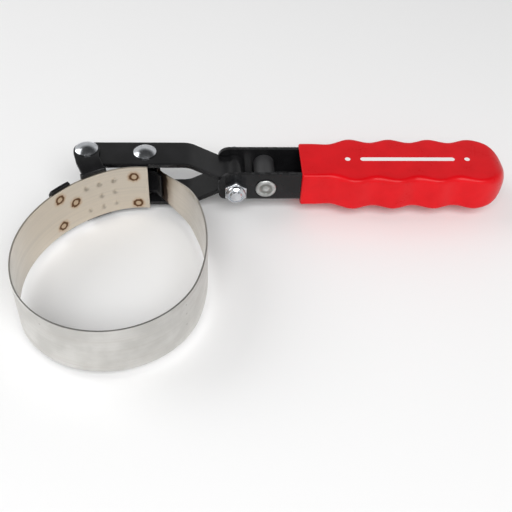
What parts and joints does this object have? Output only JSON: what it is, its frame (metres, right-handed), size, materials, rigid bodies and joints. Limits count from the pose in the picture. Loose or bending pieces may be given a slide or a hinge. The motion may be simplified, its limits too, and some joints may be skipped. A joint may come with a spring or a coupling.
{
  "type": "oil filter wrench",
  "caption": "Swivel-handle band wrench: an open steel strap loop, riveted brackets, a folded yoke and a channel handle with a finger-swell grip, for turning canister oil filters.",
  "frame": {"origin": "centre of the band's round seat, at half the band's height", "axes": "+Z along the filter's axis; +X along the handle, from the swivel bolt towards the grip; +Y from the seat towards the handle's line"},
  "size_m": [0.2286, 0.125, 0.0328],
  "materials": {
    "stainless_band": "rolled stainless strip with spot-weld marks",
    "black_paint": "gloss black enamel",
    "bright_zinc": "bright zinc plate",
    "nylon": "moulded nylon",
    "red_vinyl": "soft glossy vinyl with a printed stripe mark"
  },
  "bodies": {
    "band_head": {"band": "stainless_band", "end_bracket": "black_paint", "pivot_rivet": "bright_zinc", "pivot_spacer": "black_paint"},
    "yoke_arm": {"yoke": "black_paint", "pull_rivet": "bright_zinc", "pull_spacer": "black_paint"},
    "band_end": {"band_tail": "stainless_band", "pull_link": "black_paint"},
    "handle": {"handle_channel": "black_paint", "swivel_bolt": "bright_zinc", "lock_nut": "bright_zinc", "nut_insert": "nylon", "stop_rivet": "bright_zinc", "stop_spacer": "black_paint", "grip": "red_vinyl"}
  },
  "joints": [
    {"name": "yoke_pivot", "type": "hinge", "parent": "band_head", "child": "yoke_arm", "pos_m": [-0.0152, 0.0693, 0], "axis": [0, 0, 1], "range_deg": [0, 15]},
    {"name": "band_flex", "type": "hinge", "parent": "band_head", "child": "band_end", "pos_m": [0.0908, 0.0832, 0], "axis": [0, 0, -1], "range_deg": [0, 5.1]},
    {"name": "handle_swivel", "type": "hinge", "parent": "yoke_arm", "child": "handle", "pos_m": [0.055, 0.0685, 0], "axis": [0, -1, 0], "range_deg": [-90, 90]}
  ],
  "couplings": [
    {"joint": "band_flex", "follows": "yoke_pivot", "ratio": 0.3393}
  ]
}
